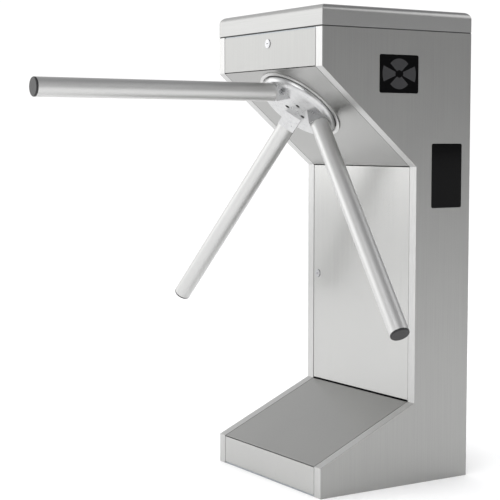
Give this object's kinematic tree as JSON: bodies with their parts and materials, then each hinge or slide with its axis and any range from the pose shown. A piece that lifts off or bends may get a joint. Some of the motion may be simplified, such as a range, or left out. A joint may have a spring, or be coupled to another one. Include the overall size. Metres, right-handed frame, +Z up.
{
  "type": "tripod turnstile",
  "caption": "Upright tripod turnstile: C-shaped stainless cabinet with a tilted hub and tubular arms that turn to let one visitor through at a time.",
  "frame": {"origin": "centre of the cabinet's footprint on the floor, the centre of the floor bolt pattern", "axes": "+Z up; -Y towards the passage, the side that the hub and arms face; +X the entry side, with the indicator and the reader"},
  "size_m": [0.8516, 0.9122, 0.98],
  "materials": {
    "brushed_stainless": "brushed stainless steel sheet, vertical grain, satin",
    "tube_stainless": "polished stainless steel tube",
    "cast_hub": "satin plated casting with a polished rim",
    "cap_plastic": "black moulded end caps",
    "black_acrylic": "black gloss window",
    "smoked_diffuser": "smoked light guide, unlit",
    "zinc_steel": "zinc plated steel",
    "machined_steel": "turned steel",
    "bearing_steel": "ground bearing steel",
    "black_oxide": "black oxide screws",
    "lock_chrome": "chromed lock",
    "housing_alloy": "machined alloy",
    "gear_brass": "brass gear",
    "coil_plastic": "moulded plastic",
    "board_green": "green circuit board",
    "psu_case": "perforated alloy case",
    "seal_rubber": "black rubber seal"
  },
  "bodies": {
    "cabinet": {"side_panel_entry": "brushed_stainless", "side_panel_exit": "brushed_stainless", "rear_panel": "brushed_stainless", "head_front_panel": "brushed_stainless", "hub_mount_panel": "brushed_stainless", "foot_slope_panel": "brushed_stainless", "foot_front_panel": "brushed_stainless", "base_plate": "zinc_steel", "top_frame": "zinc_steel", "lid_seal": "seal_rubber", "bezel_ring": "tube_stainless", "indicator_windows": "black_acrylic", "indicator_petals": "smoked_diffuser", "indicator_boards": "board_green", "reader_windows": "black_acrylic", "reader_modules": "coil_plastic", "mechanism_plate": "zinc_steel", "bearing_housing": "housing_alloy", "bearing_outer_rings": "bearing_steel", "bearing_balls": "bearing_steel", "frame_posts": "zinc_steel", "bridge_plate": "zinc_steel", "solenoid_bodies": "coil_plastic", "damper_body": "housing_alloy", "position_sensor": "coil_plastic", "equipment_plate": "zinc_steel", "control_board": "board_green", "power_supply": "psu_case", "terminal_block": "board_green", "lid_hinge_frame_leaves": "zinc_steel", "hinge_pins": "zinc_steel", "door_brackets": "zinc_steel", "lid_lock_body": "lock_chrome", "mechanism_bolts": "zinc_steel"},
    "rotor": {"hub": "cast_hub", "hub_screws": "black_oxide", "main_shaft": "machined_steel", "bearing_inner_rings": "bearing_steel", "index_disc": "zinc_steel", "drive_gear": "gear_brass", "encoder_disc": "zinc_steel", "shaft_nut": "zinc_steel", "arm_tube_1": "tube_stainless", "arm_tube_2": "tube_stainless", "arm_tube_3": "tube_stainless", "arm_plugs": "machined_steel", "arm_end_caps": "cap_plastic", "arm_bolts": "machined_steel"},
    "lid": {"lid": "brushed_stainless", "lid_hinge_leaves": "zinc_steel", "lid_strike": "zinc_steel"},
    "door": {"door_panel": "brushed_stainless", "door_lock_body": "lock_chrome"},
    "lid_lock": {"lid_lock_plug": "lock_chrome"},
    "door_lock": {"door_lock_plug": "lock_chrome"},
    "damper_shaft": {"damper_pinion": "gear_brass"},
    "entry_pawl": {"pawl_entry": "machined_steel"},
    "exit_pawl": {"pawl_exit": "machined_steel"},
    "entry_plunger": {"plunger_entry": "machined_steel"},
    "exit_plunger": {"plunger_exit": "machined_steel"}
  },
  "joints": [
    {"name": "rotor_spin", "type": "hinge", "parent": "cabinet", "child": "rotor", "pos_m": [0, -0.109, 0.79104], "axis": [0, -0.6428, -0.766], "continuous": true},
    {"name": "lid_hinge", "type": "hinge", "parent": "cabinet", "child": "lid", "pos_m": [0, 0.1955, 0.93725], "axis": [-1, 0, 0], "range_deg": [0, 100]},
    {"name": "door_hinge", "type": "hinge", "parent": "cabinet", "child": "door", "pos_m": [0.1578, 0.058, 0.4], "axis": [0, 0, -1], "range_deg": [-24, 0]},
    {"name": "lid_lock_turn", "type": "hinge", "parent": "cabinet", "child": "lid_lock", "pos_m": [0, -0.18, 0.913], "axis": [0, -1, 0], "range_deg": [0, 90]},
    {"name": "door_lock_turn", "type": "hinge", "parent": "door", "child": "door_lock", "pos_m": [-0.157, 0.055, 0.413], "axis": [0, -1, 0], "range_deg": [0, 90]},
    {"name": "damper_spin", "type": "hinge", "parent": "cabinet", "child": "damper_shaft", "pos_m": [0, 0.01723, 0.84176], "axis": [0, -0.6428, -0.766], "continuous": true},
    {"name": "entry_pawl_pivot", "type": "hinge", "parent": "cabinet", "child": "entry_pawl", "pos_m": [0.092, -0.01379, 0.8345], "axis": [0, -0.6428, -0.766], "range_deg": [0, 9]},
    {"name": "exit_pawl_pivot", "type": "hinge", "parent": "cabinet", "child": "exit_pawl", "pos_m": [-0.092, -0.01379, 0.8345], "axis": [0, 0.6428, 0.766], "range_deg": [0, 9]},
    {"name": "entry_plunger_slide", "type": "slide", "parent": "cabinet", "child": "entry_plunger", "axis": [1, 0, 0], "range_m": [0, 0.0055]},
    {"name": "exit_plunger_slide", "type": "slide", "parent": "cabinet", "child": "exit_plunger", "axis": [-1, 0, 0], "range_m": [0, 0.0055]}
  ],
  "couplings": [
    {"joint": "damper_spin", "follows": "rotor_spin", "ratio": -3},
    {"joint": "entry_plunger_slide", "follows": "entry_pawl_pivot", "m_per_rad": 0.035},
    {"joint": "exit_plunger_slide", "follows": "exit_pawl_pivot", "m_per_rad": 0.035}
  ]
}
